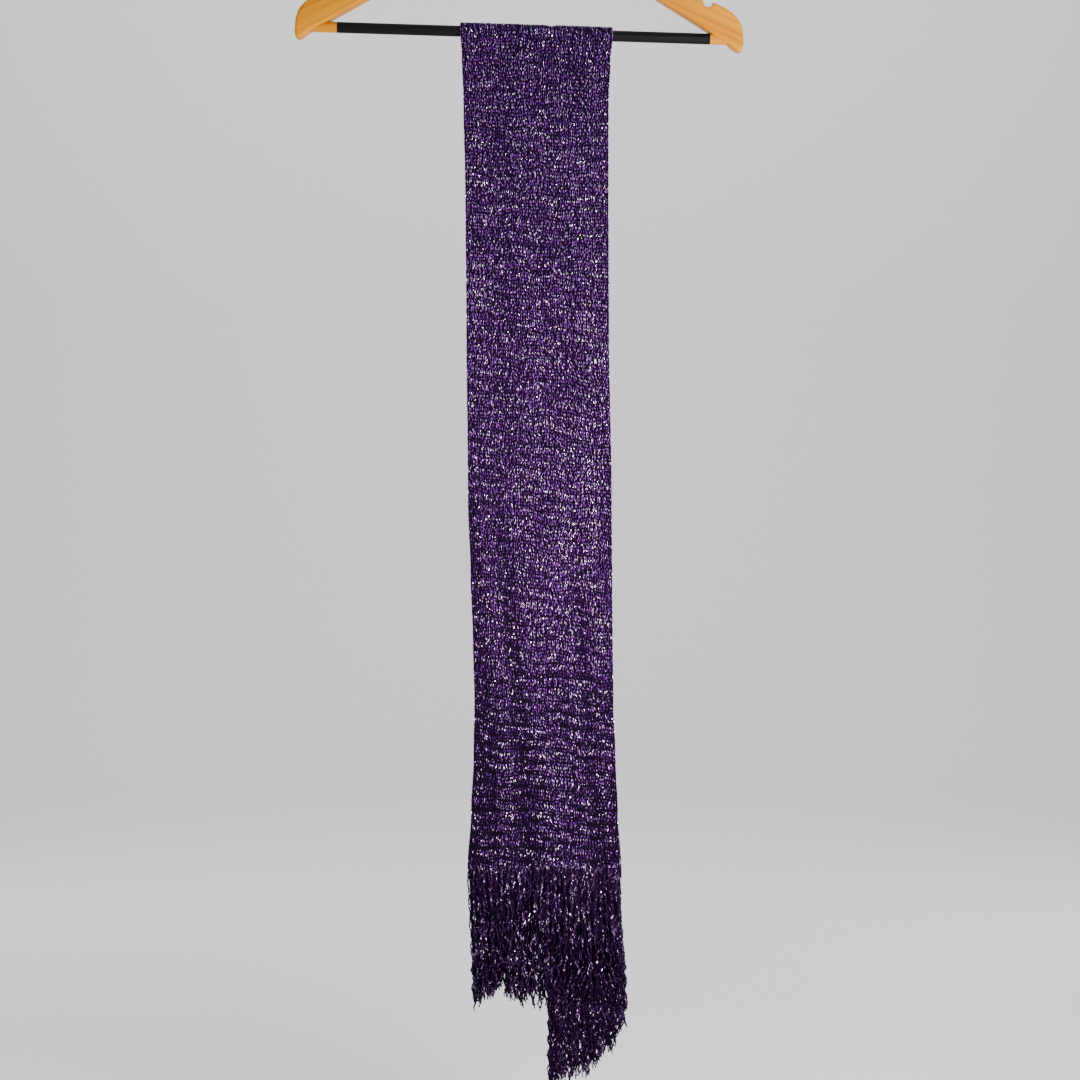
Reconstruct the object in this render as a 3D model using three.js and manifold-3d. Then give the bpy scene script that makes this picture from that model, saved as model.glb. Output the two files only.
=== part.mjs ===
// A loosely knitted, fringed shawl hung over the trouser bar of a flat wooden clothes hanger.
// Both long edges of the shawl are folded in behind its face, so its section is a flattened C whose
// two selvedges nearly meet. The fold runs a little askew, so the right-hand flap is narrow at the
// front hem and wide at the back one, where its free corner has stretched and hangs lower.
//
// Millimetres, +Z up, +X to the right and +Y away from someone who faces the shawl.
// The origin is the point inside the hook where a rail bears, and everything hangs below it.

import * as THREE from "three";
import { mergeVertices } from "three/addons/utils/BufferGeometryUtils.js";
import Module from "manifold-3d";

const wasm = await Module();
wasm.setup();

// ---------------------------------------------------------------- driving dimensions

const CLEARANCE = 0.3; // between pieces that touch or meet at a seam
const WELD = 1e-3; // points nearer than this are one point
const TILT = THREE.MathUtils.degToRad(1.8); // the hanger leans, its right end lower

const bar = {
  drop: 205, // hook's bearing point down to the bar's axis
  radius: 5.5,
  end: 214, // half of its length, inside the arms
  recess: 0.9, // turned down this much under the sleeve
  sleeveLeft: -181,
  sleeveRight: 190,
  sides: 16,
};

// Heights are above the bar's axis. The outline's right half goes from the arch's middle to the
// strap notch by `lower` and on to the neck by `upper`: a step ends at `to` and bends about any `by`.
const yoke = {
  thickness: 15,
  edgeRound: 2.5,
  edgeSteps: 2,
  curveSteps: 6,
  archHeight: 86.4,
  neckHeight: 121,
  notch: { x: 187, z: 35.3, radius: 4.6 },
  lower: [
    { by: [52, 86.4], to: [110, 52.5] }, // the arch
    { to: [207, -4.6] }, // underside of the straight arm
    { by: [216, -13], to: [219.5, -12.5] }, // the tip
    { by: [222.5, -12], to: [223.2, -7.5] },
    { by: [223.5, 3], to: [222.5, 8] }, // the rounded outer end
    { by: [219.5, 25], to: [195.6, 34.1] }, // up over the shoulder
  ],
  upper: [
    { to: [180.4, 40.7] },
    { to: [110, 81.5] }, // upper edge of the arm
    { by: [60, 108], to: [24, 116] },
    { by: [14, 117.5], to: [8, 121] }, // the neck
  ],
};

const hook = {
  wireRadius: 1.8,
  crownRadius: 22, // of the wire's centre line
  shankHole: 18, // depth of the shank in the wood
  straight: 14, // bare wire above the wood before it bends
  bendDrop: 15, // the bend's height below the crown's circle
  bendAside: 0.6,
  leadAngle: -62, // where the crown's circle starts, degrees from +X
  tipAngle: 208,
  crownPoints: 12,
  steps: 34,
  sides: 8,
};

const cloth = {
  wall: 1.1,
  air: 0.9, // between the face and the flaps folded in behind it
  leftColumns: 12, // across the face, left of the line where the selvedges meet
  rightColumns: 5,
  foldSteps: 4,
  fallStations: 13,
  barStations: 6,
  slitDip: 1.5, // the face sinks this much where no flap lies behind it
  slitShoulder: 0.3, // and this much at the selvedges beside it
  frontHem: 832, // below the bar's axis
  backHem: 842,
  cornerDrop: 78, // further drop of the back flap's stretched corner
  cornerCurve: 1.6,
};
const layerPitch = cloth.wall + cloth.air;
const stackDepth = layerPitch + cloth.wall;
const barGap = bar.radius + CLEARANCE; // from the bar's axis to the innermost cloth

// Outlines of the two falls: x is from the hanger's middle, drop is below the bar's axis.
// slit is the line where the two selvedges face each other, half is half the slit's width.
const frontOutline = [
  { drop: 0, left: -58.6, right: 93.3, slit: 32.0, half: 3.5 },
  { drop: 28, left: -57.1, right: 91.0, slit: 33.5, half: 3.5 },
  { drop: 68, left: -55.6, right: 89.2, slit: 35.0, half: 4.0 },
  { drop: 168, left: -53.6, right: 89.2, slit: 42.0, half: 4.0 },
  { drop: 290, left: -52.6, right: 89.6, slit: 48.5, half: 4.0 },
  { drop: 465, left: -51.1, right: 92.3, slit: 52.0, half: 4.0 },
  { drop: 540, left: -48.6, right: 92.8, slit: 55.0, half: 4.0 },
  { drop: 605, left: -46.2, right: 93.3, slit: 61.0, half: 4.0 },
  { drop: 665, left: -44.7, right: 94.0, slit: 67.0, half: 4.0 },
  { drop: 725, left: -45.7, right: 96.3, slit: 72.0, half: 4.0 },
  { drop: 775, left: -48.0, right: 98.4, slit: 76.0, half: 4.0 },
  { drop: 832, left: -51.6, right: 100.4, slit: 80.0, half: 4.0 },
];
const backOutline = [
  { drop: 0, left: -58.6, right: 93.3, slit: 32.0, half: 3.5 },
  { drop: 40, left: -56.4, right: 90.0, slit: 31.5, half: 3.5 },
  { drop: 150, left: -53.0, right: 88.4, slit: 30.5, half: 4.0 },
  { drop: 320, left: -51.2, right: 88.8, slit: 29.0, half: 4.0 },
  { drop: 480, left: -48.8, right: 90.4, slit: 27.5, half: 4.5 },
  { drop: 620, left: -44.8, right: 92.2, slit: 26.0, half: 4.5 },
  { drop: 740, left: -44.2, right: 96.0, slit: 25.0, half: 5.0 },
  { drop: 842, left: -50.0, right: 102.5, slit: 24.0, half: 5.0 },
];

// Soft folds as troughs: each runs from (x0, drop0) to (x1, drop1), swells to its depth over `grow`
// and has a bell-shaped section of the given half-width. Negative depths are ridges.
const frontFolds = [
  { x0: -24, drop0: 400, x1: 9, drop1: 832, depth: 4.2, half: 8, grow: 190 },
  { x0: -31, drop0: 590, x1: -26, drop1: 832, depth: 2.2, half: 6, grow: 90 },
  { x0: -6, drop0: 560, x1: -12, drop1: 832, depth: -1.6, half: 7, grow: 120 },
  { x0: 52, drop0: 470, x1: 80, drop1: 832, depth: 2.4, half: 7, grow: 130 },
  { x0: 26, drop0: 680, x1: 29, drop1: 832, depth: -1.8, half: 9, grow: 90 },
  { x0: -12, drop0: 20, x1: -20, drop1: 380, depth: 0.9, half: 10, grow: 60 },
  { x0: 66, drop0: 120, x1: 72, drop1: 460, depth: -0.9, half: 9, grow: 80 },
];
const backFolds = [
  { x0: -6, drop0: 300, x1: -22, drop1: 842, depth: 3.4, half: 9, grow: 180 },
  { x0: 62, drop0: 380, x1: 74, drop1: 920, depth: 3.0, half: 8, grow: 160 },
  { x0: 10, drop0: 560, x1: 4, drop1: 842, depth: -1.8, half: 8, grow: 120 },
  { x0: 40, drop0: 60, x1: 46, drop1: 460, depth: 1.0, half: 10, grow: 80 },
];
const foldFade = { from: 1, over: 0.25 }; // a fold that goes on past its end fades over this share
// The folded edges roll inwards in the lower half.
const frontEdgeRoll = { left: 4.2, right: 1.2, width: 9, from: 430, to: 640 };
const backEdgeRoll = { left: 3.0, right: 2.0, width: 9, from: 420, to: 660 };

const fringe = {
  stripHeight: 5,
  pitch: 5.7,
  length: 128,
  lengthSpread: 0.09,
  rootRadius: 0.95,
  bodyRadius: 1.25,
  tipRadius: 0.85,
  steps: 4,
  sides: 3,
  embed: 2.6, // root's reach into the strip
  outward: 3.4, // the face's row leans away from the flaps' row
  inward: 1.6,
  leanShare: 0.625, // of its length in which a strand leans out
  sway: 3.0, // neighbouring strands gather into locks
  swayWavelength: 44,
  swayDrift: 18,
  wander: 0.5,
  thickening: 0.25, // share of its length in which a strand swells to its body
  twist: 0.6, // of a side, from root to tip
  faceShift: 0.25, // of a pitch, so that the rows stand in each other's gaps
  flapShift: 0.75,
  rowSeed: 97,
  backSeed: 331,
};

const colours = {
  knit: { color: 0x3b1a66, roughness: 0.6, metalness: 0.15 },
  wood: { color: 0xd9a35a, roughness: 0.45, metalness: 0 },
  rubber: { color: 0x161616, roughness: 0.7, metalness: 0 },
  steel: { color: 0xc6c8cc, roughness: 0.25, metalness: 1 },
};

// ---------------------------------------------------------------- small helpers

const material = (finish) => new THREE.MeshStandardMaterial(finish);

function named(name, geometry, finish) {
  const mesh = new THREE.Mesh(geometry, material(finish));
  mesh.name = name;
  return mesh;
}

function solidOf(geometry) {
  const bare = new THREE.BufferGeometry();
  bare.setAttribute("position", geometry.getAttribute("position").clone());
  if (geometry.index) bare.setIndex(geometry.index);
  const merged = mergeVertices(bare, WELD);
  return new wasm.Manifold(
    new wasm.Mesh({
      numProp: 3,
      vertProperties: new Float32Array(merged.attributes.position.array),
      triVerts: new Uint32Array(merged.index.array),
    }),
  );
}

function geometryOf(solid) {
  const { numProp, vertProperties, triVerts } = solid.getMesh();
  const count = vertProperties.length / numProp;
  const position = new Float32Array(count * 3);
  for (let i = 0; i < count; i++) {
    position.set(vertProperties.subarray(i * numProp, i * numProp + 3), i * 3);
  }
  const geometry = new THREE.BufferGeometry();
  geometry.setAttribute("position", new THREE.BufferAttribute(position, 3));
  geometry.setIndex(new THREE.BufferAttribute(new Uint32Array(triVerts), 1));
  geometry.computeVertexNormals();
  return geometry;
}

function geometryFrom(points, triangles) {
  const geometry = new THREE.BufferGeometry();
  geometry.setAttribute(
    "position",
    new THREE.Float32BufferAttribute(points.flatMap((p) => [p.x, p.y, p.z]), 3),
  );
  geometry.setIndex(triangles);
  geometry.computeVertexNormals();
  return geometry;
}

const smooth = (t) => {
  const s = THREE.MathUtils.clamp(t, 0, 1);
  return s * s * (3 - 2 * s);
};

const bell = (offset, half) => Math.exp(-((offset / half) ** 2));

// A repeatable number from 0 to 1 for each strand.
const variation = (seed) => {
  const v = Math.sin(seed * 12.9898) * 43758.5453;
  return v - Math.floor(v);
};

// ---------------------------------------------------------------- hanger

function hangerYoke() {
  const { notch } = yoke;
  const half = new THREE.Path();
  const follow = ({ by, to }) => (by ? half.quadraticCurveTo(...by, ...to) : half.lineTo(...to));
  half.moveTo(0, yoke.archHeight);
  yoke.lower.forEach(follow);
  half.absarc(notch.x, notch.z, notch.radius, 0, -Math.PI, true);
  yoke.upper.forEach(follow);

  const right = half.getPoints(yoke.curveSteps);
  const left = right
    .slice(1)
    .map((p) => new THREE.Vector2(-p.x, p.y))
    .reverse();
  const geometry = new THREE.ExtrudeGeometry(new THREE.Shape([...right, ...left]), {
    depth: yoke.thickness - 2 * yoke.edgeRound,
    bevelThickness: yoke.edgeRound,
    bevelSize: yoke.edgeRound,
    bevelOffset: -yoke.edgeRound,
    bevelSegments: yoke.edgeSteps,
  });
  geometry.translate(0, 0, yoke.edgeRound - yoke.thickness / 2);
  geometry.rotateX(Math.PI / 2);
  geometry.translate(0, 0, -bar.drop);

  const socket = barCylinder(bar.radius + CLEARANCE, bar.end + CLEARANCE);
  const shankHole = new THREE.CylinderGeometry(
    hook.wireRadius + CLEARANCE,
    hook.wireRadius + CLEARANCE,
    2 * (hook.shankHole + CLEARANCE),
    hook.sides,
  );
  shankHole.rotateX(Math.PI / 2);
  shankHole.translate(0, 0, yoke.neckHeight - bar.drop);
  return geometryOf(solidOf(geometry).subtract(solidOf(socket)).subtract(solidOf(shankHole)));
}

// A plain cylinder on the bar's axis, from -halfLength to +halfLength.
function barCylinder(radius, halfLength) {
  const geometry = new THREE.CylinderGeometry(radius, radius, 2 * halfLength, bar.sides);
  geometry.rotateZ(Math.PI / 2);
  geometry.translate(0, 0, -bar.drop);
  return geometry;
}

// Turned about the bar's axis from a profile of [radius, x] pairs.
function turnedOnBar(profile) {
  const points = profile.map(([radius, x]) => new THREE.Vector2(radius, x));
  const geometry = new THREE.LatheGeometry(points, bar.sides);
  geometry.rotateZ(-Math.PI / 2);
  geometry.translate(0, 0, -bar.drop);
  return geometry;
}

function hangerBar() {
  const seat = bar.radius - bar.recess;
  return turnedOnBar([
    [0, -bar.end],
    [bar.radius, -bar.end],
    [bar.radius, bar.sleeveLeft - CLEARANCE],
    [seat, bar.sleeveLeft - CLEARANCE],
    [seat, bar.sleeveRight + CLEARANCE],
    [bar.radius, bar.sleeveRight + CLEARANCE],
    [bar.radius, bar.end],
    [0, bar.end],
  ]);
}

function barSleeve() {
  const inside = bar.radius - bar.recess + CLEARANCE;
  return turnedOnBar([
    [inside, bar.sleeveLeft],
    [bar.radius, bar.sleeveLeft],
    [bar.radius, bar.sleeveRight],
    [inside, bar.sleeveRight],
    [inside, bar.sleeveLeft],
  ]);
}

function hangerHook() {
  const { crownRadius, wireRadius } = hook;
  const centre = wireRadius - crownRadius; // the wire's underside bears at the origin
  const neck = yoke.neckHeight - bar.drop;
  const points = [
    new THREE.Vector3(0, 0, neck - hook.shankHole),
    new THREE.Vector3(0, 0, neck),
    new THREE.Vector3(0, 0, neck + hook.straight),
    new THREE.Vector3(hook.bendAside, 0, centre - crownRadius - hook.bendDrop),
  ];
  for (let k = 0; k <= hook.crownPoints; k++) {
    const angle = THREE.MathUtils.degToRad(
      THREE.MathUtils.lerp(hook.leadAngle, hook.tipAngle, k / hook.crownPoints),
    );
    points.push(
      new THREE.Vector3(crownRadius * Math.cos(angle), 0, centre + crownRadius * Math.sin(angle)),
    );
  }
  const wire = new THREE.Shape();
  wire.absarc(0, 0, wireRadius, 0, 2 * Math.PI);
  return new THREE.ExtrudeGeometry(wire, {
    extrudePath: new THREE.CatmullRomCurve3(points),
    steps: hook.steps,
    curveSegments: hook.sides / 2,
  });
}

// ---------------------------------------------------------------- shawl

// The row of an outline table at a given drop, by smooth interpolation.
function outlineAt(outline, drop) {
  const last = outline.length - 1;
  const i = Math.max(0, Math.min(last - 1, outline.findIndex((row) => row.drop > drop) - 1));
  const from = drop >= outline[last].drop ? outline[last - 1] : outline[i];
  const to = drop >= outline[last].drop ? outline[last] : outline[i + 1];
  const t = smooth((drop - from.drop) / (to.drop - from.drop));
  const mix = (key) => THREE.MathUtils.lerp(from[key], to[key], t);
  return { left: mix("left"), right: mix("right"), slit: mix("slit"), half: mix("half") };
}

// The C-shaped section as two matching lines of [x, depth, layer]: `outside` is the side that shows,
// `inside` the side within the C. depth is measured outwards from the innermost surface.
function sectionAt({ left, right, slit, half }) {
  const spread = (from, to, count) =>
    Array.from({ length: count + 1 }, (_, i) => THREE.MathUtils.lerp(from, to, i / count));
  const foldRadius = stackDepth / 2;
  const leftXs = spread(left + foldRadius, slit - half, cloth.leftColumns);
  const rightXs = spread(slit + half, right - foldRadius, cloth.rightColumns);
  const faceXs = [...leftXs, slit, ...rightXs].reverse();
  const dip = (x) => {
    if (x === slit) return cloth.slitDip;
    return x === slit - half || x === slit + half ? cloth.slitShoulder : 0;
  };

  const line = (flapDepth, faceDepth, radius) => {
    const arc = (centreX, sign) =>
      Array.from({ length: cloth.foldSteps - 1 }, (_, k) => {
        const angle = (Math.PI * (k + 1)) / cloth.foldSteps;
        return [
          centreX + sign * radius * Math.sin(angle),
          foldRadius - sign * radius * Math.cos(angle),
          "fold",
        ];
      });
    return [
      ...rightXs.map((x) => [x, flapDepth, "rightFlap"]),
      ...arc(right - foldRadius, 1),
      ...faceXs.map((x) => [x, faceDepth - dip(x), "face"]),
      ...arc(left + foldRadius, -1),
      ...leftXs.map((x) => [x, flapDepth, "leftFlap"]),
    ];
  };
  return {
    outside: line(0, stackDepth, foldRadius),
    inside: line(cloth.wall, stackDepth - cloth.wall, cloth.air / 2),
  };
}

// How far the fall stands out (or sinks in, if negative) at a point of its face.
function relief(fall, x, drop) {
  const edges = outlineAt(fall.outline, drop);
  const roll = smooth((drop - fall.roll.from) / (fall.roll.to - fall.roll.from));
  const rolled =
    roll *
    (fall.roll.left * bell(x - edges.left, fall.roll.width) +
      fall.roll.right * bell(x - edges.right, fall.roll.width));
  const troughs = fall.folds.reduce((sum, fold) => {
    const along = (drop - fold.drop0) / (fold.drop1 - fold.drop0);
    const fade = smooth((foldFade.from + foldFade.over - along) / foldFade.over);
    const swell = smooth((drop - fold.drop0) / fold.grow) * fade;
    return sum + fold.depth * swell * bell(x - THREE.MathUtils.lerp(fold.x0, fold.x1, along), fold.half);
  }, 0);
  return -(rolled + troughs);
}

const barHeight = (x) => -x * Math.tan(TILT);

const frontFall = {
  side: -1,
  outline: frontOutline,
  folds: frontFolds,
  roll: frontEdgeRoll,
  hem: () => cloth.frontHem,
};

const backFall = {
  side: 1,
  outline: backOutline,
  folds: backFolds,
  roll: backEdgeRoll,
  hem: (x, layer, edges) => {
    if (layer !== "rightFlap") return cloth.backHem;
    const reach = (edges.right - x) / (edges.right - edges.slit - edges.half);
    return cloth.backHem + cloth.cornerDrop * (1 - (1 - Math.min(1, reach)) ** cloth.cornerCurve);
  },
};

// A point of a hanging fall: share 0 is its top edge at the bar, 1 its hem, and `below` is mm past that.
function fallPoint(fall, [x, depth, layer], share, below = 0) {
  const hemEdges = outlineAt(fall.outline, fall.hem(0, "face"));
  const top = barHeight(x) - CLEARANCE;
  const hem = -fall.hem(THREE.MathUtils.clamp(x, hemEdges.left, hemEdges.right), layer, hemEdges);
  const z = THREE.MathUtils.lerp(top, hem, share) - below;
  const y = fall.side * (barGap + depth + relief(fall, x, -z));
  return new THREE.Vector3(x, y, z);
}

// Lofts a wall through rings of matching outside and inside points, and closes its four edges.
function wallThrough(rings) {
  const columns = rings[0].outside.length;
  const points = rings.flatMap(({ outside, inside }) => [...outside, ...inside]);
  const at = (ring, side, column) => (2 * ring + side) * columns + column;
  const triangles = [];
  const quad = (a, b, c, d) => triangles.push(a, b, c, a, c, d);
  const last = rings.length - 1;
  for (let r = 0; r < last; r++) {
    for (let c = 0; c < columns - 1; c++) {
      quad(at(r, 0, c), at(r, 0, c + 1), at(r + 1, 0, c + 1), at(r + 1, 0, c));
      quad(at(r, 1, c + 1), at(r, 1, c), at(r + 1, 1, c), at(r + 1, 1, c + 1));
    }
    quad(at(r, 0, columns - 1), at(r, 1, columns - 1), at(r + 1, 1, columns - 1), at(r + 1, 0, columns - 1));
    quad(at(r, 1, 0), at(r, 0, 0), at(r + 1, 0, 0), at(r + 1, 1, 0));
  }
  for (let c = 0; c < columns - 1; c++) {
    quad(at(0, 1, c), at(0, 1, c + 1), at(0, 0, c + 1), at(0, 0, c));
    quad(at(last, 0, c), at(last, 0, c + 1), at(last, 1, c + 1), at(last, 1, c));
  }
  return facingOut(geometryFrom(points, triangles));
}

// Turns a closed surface right side out.
function facingOut(geometry) {
  const { array } = geometry.index;
  const p = geometry.getAttribute("position");
  const corner = (i) => new THREE.Vector3().fromBufferAttribute(p, array[i]);
  let volume = 0;
  for (let i = 0; i < array.length; i += 3) {
    volume += corner(i).dot(corner(i + 1).cross(corner(i + 2)));
  }
  if (volume < 0) {
    for (let i = 0; i < array.length; i += 3) [array[i + 1], array[i + 2]] = [array[i + 2], array[i + 1]];
    geometry.computeVertexNormals();
  }
  return geometry;
}

function fallWall(fall) {
  const rings = Array.from({ length: cloth.fallStations + 1 }, (_, i) => {
    const share = i / cloth.fallStations;
    const section = sectionAt(outlineAt(fall.outline, share * fall.hem(0, "face")));
    const placed = (line) => line.map((point) => fallPoint(fall, point, share));
    return { outside: placed(section.outside), inside: placed(section.inside) };
  });
  return wallThrough(rings);
}

// Over the bar the section turns about the bar's axis, from the front fall to the back one.
function overBarWall() {
  const section = sectionAt(outlineAt(frontOutline, 0));
  const rings = Array.from({ length: cloth.barStations + 1 }, (_, i) => {
    const angle = Math.PI * (1 - i / cloth.barStations);
    const placed = (line) =>
      line.map(([x, depth]) => {
        const radius = barGap + depth;
        return new THREE.Vector3(x, radius * Math.cos(angle), barHeight(x) + radius * Math.sin(angle));
      });
    return { outside: placed(section.outside), inside: placed(section.inside) };
  });
  return wallThrough(rings);
}

// ---------------------------------------------------------------- fringe

// A strand hangs from its root in a gentle sway that it shares with its neighbours.
function strand(root, lean, seed) {
  const length = fringe.length * (1 + fringe.lengthSpread * (2 * variation(seed) - 1));
  const rings = [];
  for (let k = 0; k <= fringe.steps; k++) {
    const share = k / fringe.steps;
    const phase = (2 * Math.PI * (root.x + fringe.swayDrift * share)) / fringe.swayWavelength;
    const x = root.x + fringe.sway * smooth(share) * Math.sin(phase);
    const y = root.y + lean * smooth(share / fringe.leanShare) + fringe.wander * share * Math.sin(seed);
    const z = root.z + fringe.embed - share * (length + fringe.embed);
    const swell = Math.min(1, share / fringe.thickening);
    const radius =
      share === 1 ? fringe.tipRadius : THREE.MathUtils.lerp(fringe.rootRadius, fringe.bodyRadius, swell);
    rings.push(
      Array.from({ length: fringe.sides }, (_, s) => {
        const angle = (2 * Math.PI * (s + share * fringe.twist)) / fringe.sides;
        return new THREE.Vector3(x + radius * Math.cos(angle), y + radius * Math.sin(angle), z);
      }),
    );
  }
  const triangles = [];
  const at = (ring, side) => ring * fringe.sides + (side % fringe.sides);
  for (let r = 0; r < fringe.steps; r++) {
    for (let s = 0; s < fringe.sides; s++) {
      triangles.push(at(r, s), at(r + 1, s), at(r + 1, s + 1), at(r, s), at(r + 1, s + 1), at(r, s + 1));
    }
  }
  triangles.push(at(0, 0), at(0, 1), at(0, 2));
  triangles.push(at(fringe.steps, 0), at(fringe.steps, 2), at(fringe.steps, 1));
  return facingOut(geometryFrom(rings.flat(), triangles));
}

// A narrow strip follows the hem, and the strands are rooted in it.
function fringeOf(fall) {
  const edges = outlineAt(fall.outline, fall.hem(0, "face"));
  const section = sectionAt(edges);
  const rings = [CLEARANCE, CLEARANCE + fringe.stripHeight].map((below) => {
    const placed = (line) => line.map((point) => fallPoint(fall, point, 1, below));
    return { outside: placed(section.outside), inside: placed(section.inside) };
  });
  const [left, right] = [edges.left + stackDepth / 2, edges.right - stackDepth / 2];
  const [faceDepth, flapDepth] = [stackDepth - cloth.wall / 2, cloth.wall / 2];
  const onFace = { depth: faceDepth, shift: fringe.faceShift, lean: fringe.outward };
  const onFlap = { depth: flapDepth, shift: fringe.flapShift, lean: -fringe.inward };
  const rows = [
    { layer: "face", from: left, to: right, ...onFace },
    { layer: "leftFlap", from: left, to: edges.slit - edges.half, ...onFlap },
    { layer: "rightFlap", from: edges.slit + edges.half, to: right, ...onFlap },
  ];
  const strands = rows.flatMap(({ layer, from, to, depth, shift, lean }, row) => {
    const count = Math.floor((to - from) / fringe.pitch);
    return Array.from({ length: count }, (_, i) => {
      const x = from + (i + shift) * fringe.pitch;
      const dip = layer === "face" ? cloth.slitShoulder * bell(x - edges.slit, edges.half) : 0;
      const root = fallPoint(fall, [x, depth - dip, layer], 1, CLEARANCE + fringe.stripHeight);
      const seed = 1 + i + fringe.rowSeed * row + (fall.side > 0 ? fringe.backSeed : 0);
      return solidOf(strand(root, fall.side * lean, seed));
    });
  });
  return geometryOf(wasm.Manifold.union([solidOf(wallThrough(rings)), ...strands]));
}

// ---------------------------------------------------------------- assembly

const hanger = new THREE.Group();
hanger.rotation.y = TILT;
hanger.add(
  named("hanger_hook", hangerHook(), colours.steel),
  named("hanger_yoke", hangerYoke(), colours.wood),
  named("hanger_bar", hangerBar(), colours.wood),
  named("hanger_bar_sleeve", barSleeve(), colours.rubber),
);

const shawl = new THREE.Group();
shawl.position.set(-bar.drop * Math.sin(TILT), 0, -bar.drop * Math.cos(TILT));
shawl.add(
  named("shawl_over_bar", overBarWall(), colours.knit),
  named("shawl_front_fall", fallWall(frontFall), colours.knit),
  named("shawl_back_fall", fallWall(backFall), colours.knit),
  named("fringe_front", fringeOf(frontFall), colours.knit),
  named("fringe_back", fringeOf(backFall), colours.knit),
);

const root = new THREE.Group();
root.add(hanger, shawl);

export default root;
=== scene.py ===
"""Dresses a packed hanger-and-shawl frame as a shimmering, loosely knitted shawl with a long fringe.

The cloth is one thin shell in the form of the frame's cloth solids. Metallic yarn stitches stand on
it as small faceted slivers, and a twisted two-ply fringe hangs from both hems. Shapes are worked out
in millimetres from the middle of the hanger's bar, then placed in the frame in metres.
"""

import math

import bpy
import numpy as np
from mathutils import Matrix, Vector, noise


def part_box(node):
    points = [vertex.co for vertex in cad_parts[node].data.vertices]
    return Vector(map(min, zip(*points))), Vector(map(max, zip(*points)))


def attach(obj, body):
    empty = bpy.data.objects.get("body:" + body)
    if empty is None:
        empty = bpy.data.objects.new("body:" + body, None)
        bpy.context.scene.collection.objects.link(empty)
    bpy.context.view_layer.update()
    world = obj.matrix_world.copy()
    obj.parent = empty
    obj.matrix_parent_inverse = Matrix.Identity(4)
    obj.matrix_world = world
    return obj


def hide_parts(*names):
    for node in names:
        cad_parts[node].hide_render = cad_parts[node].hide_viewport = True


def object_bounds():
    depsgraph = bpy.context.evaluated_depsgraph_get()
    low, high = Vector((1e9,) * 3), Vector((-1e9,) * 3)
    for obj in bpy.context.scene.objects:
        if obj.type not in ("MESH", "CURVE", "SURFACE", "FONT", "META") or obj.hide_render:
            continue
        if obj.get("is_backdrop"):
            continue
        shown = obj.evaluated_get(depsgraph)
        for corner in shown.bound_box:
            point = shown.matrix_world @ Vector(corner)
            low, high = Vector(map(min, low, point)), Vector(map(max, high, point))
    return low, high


bl_info = {
    "name": "Hanging Shawl",
    "version": (1, 0, 0),
    "blender": (4, 5, 0),
    "location": "3D View > Sidebar > Shawl",
    "description": "Knits a fringed metallic shawl onto a hanger's packed frame",
    "category": "Add Mesh",
}

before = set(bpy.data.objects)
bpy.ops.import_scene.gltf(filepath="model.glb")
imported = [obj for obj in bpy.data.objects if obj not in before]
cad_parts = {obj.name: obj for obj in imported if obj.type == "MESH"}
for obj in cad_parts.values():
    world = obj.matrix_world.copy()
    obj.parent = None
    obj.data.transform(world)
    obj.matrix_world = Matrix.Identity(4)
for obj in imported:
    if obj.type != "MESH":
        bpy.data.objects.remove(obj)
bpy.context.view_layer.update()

MM = 0.001
BODY = "root"

# -------------------- the frame's own sizes

BAR_LOW, BAR_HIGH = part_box("hanger_bar")
BAR_MIDDLE = (BAR_LOW + BAR_HIGH) / 2
LEAN = math.radians(1.8)  # the bar's right end is lower

WALL = 1.1  # mm, the cloth solid's wall
AIR = 0.9  # mm, between the face and the flaps behind it
BAR_GAP = 5.8  # mm, from the bar's axis to the innermost cloth
FLAP_DEPTH = WALL / 2
FACE_DEPTH = WALL + AIR + WALL / 2
FOLD_CENTRE = (FLAP_DEPTH + FACE_DEPTH) / 2
FOLD_RADIUS = (FACE_DEPTH - FLAP_DEPTH) / 2
FOLD_INSET = (2 * WALL + AIR) / 2
QUARTER_TURN = math.pi / 2 * (BAR_GAP + FACE_DEPTH)  # mm of cloth from the bar's top to a fall

# Spans across the cloth: a column u from 0 to 5 runs from one selvedge to the other.
RIGHT_FLAP, RIGHT_FOLD, FACE, LEFT_FOLD, LEFT_FLAP = range(5)


def table(columns, *rows):
    """A dict for each row, with the names in `columns` as its keys."""
    return [dict(zip(columns.split(), row)) for row in rows]


# Outlines of the falls in mm: x from the bar's middle, drop below its axis. The selvedges face each
# other along `slit`, which is twice `half` wide.
FRONT_OUTLINE = table(
    "drop left right slit half",
    (0, -58.6, 93.3, 32.0, 3.5),
    (28, -57.1, 91.0, 33.5, 3.5),
    (68, -55.6, 89.2, 35.0, 4.0),
    (168, -53.6, 89.2, 42.0, 4.0),
    (290, -52.6, 89.6, 48.5, 4.0),
    (465, -51.1, 92.3, 52.0, 4.0),
    (540, -48.6, 92.8, 55.0, 4.0),
    (605, -46.2, 93.3, 61.0, 4.0),
    (665, -44.7, 94.0, 67.0, 4.0),
    (725, -45.7, 96.3, 72.0, 4.0),
    (775, -48.0, 98.4, 76.0, 4.0),
    (832, -51.6, 100.4, 80.0, 4.0),
)
BACK_OUTLINE = table(
    "drop left right slit half",
    (0, -58.6, 93.3, 32.0, 3.5),
    (40, -56.4, 90.0, 31.5, 3.5),
    (150, -53.0, 88.4, 30.5, 4.0),
    (320, -51.2, 88.8, 29.0, 4.0),
    (480, -48.8, 90.4, 27.5, 4.5),
    (620, -44.8, 92.2, 26.0, 4.5),
    (740, -44.2, 96.0, 25.0, 5.0),
    (842, -50.0, 102.5, 24.0, 5.0),
)

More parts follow.
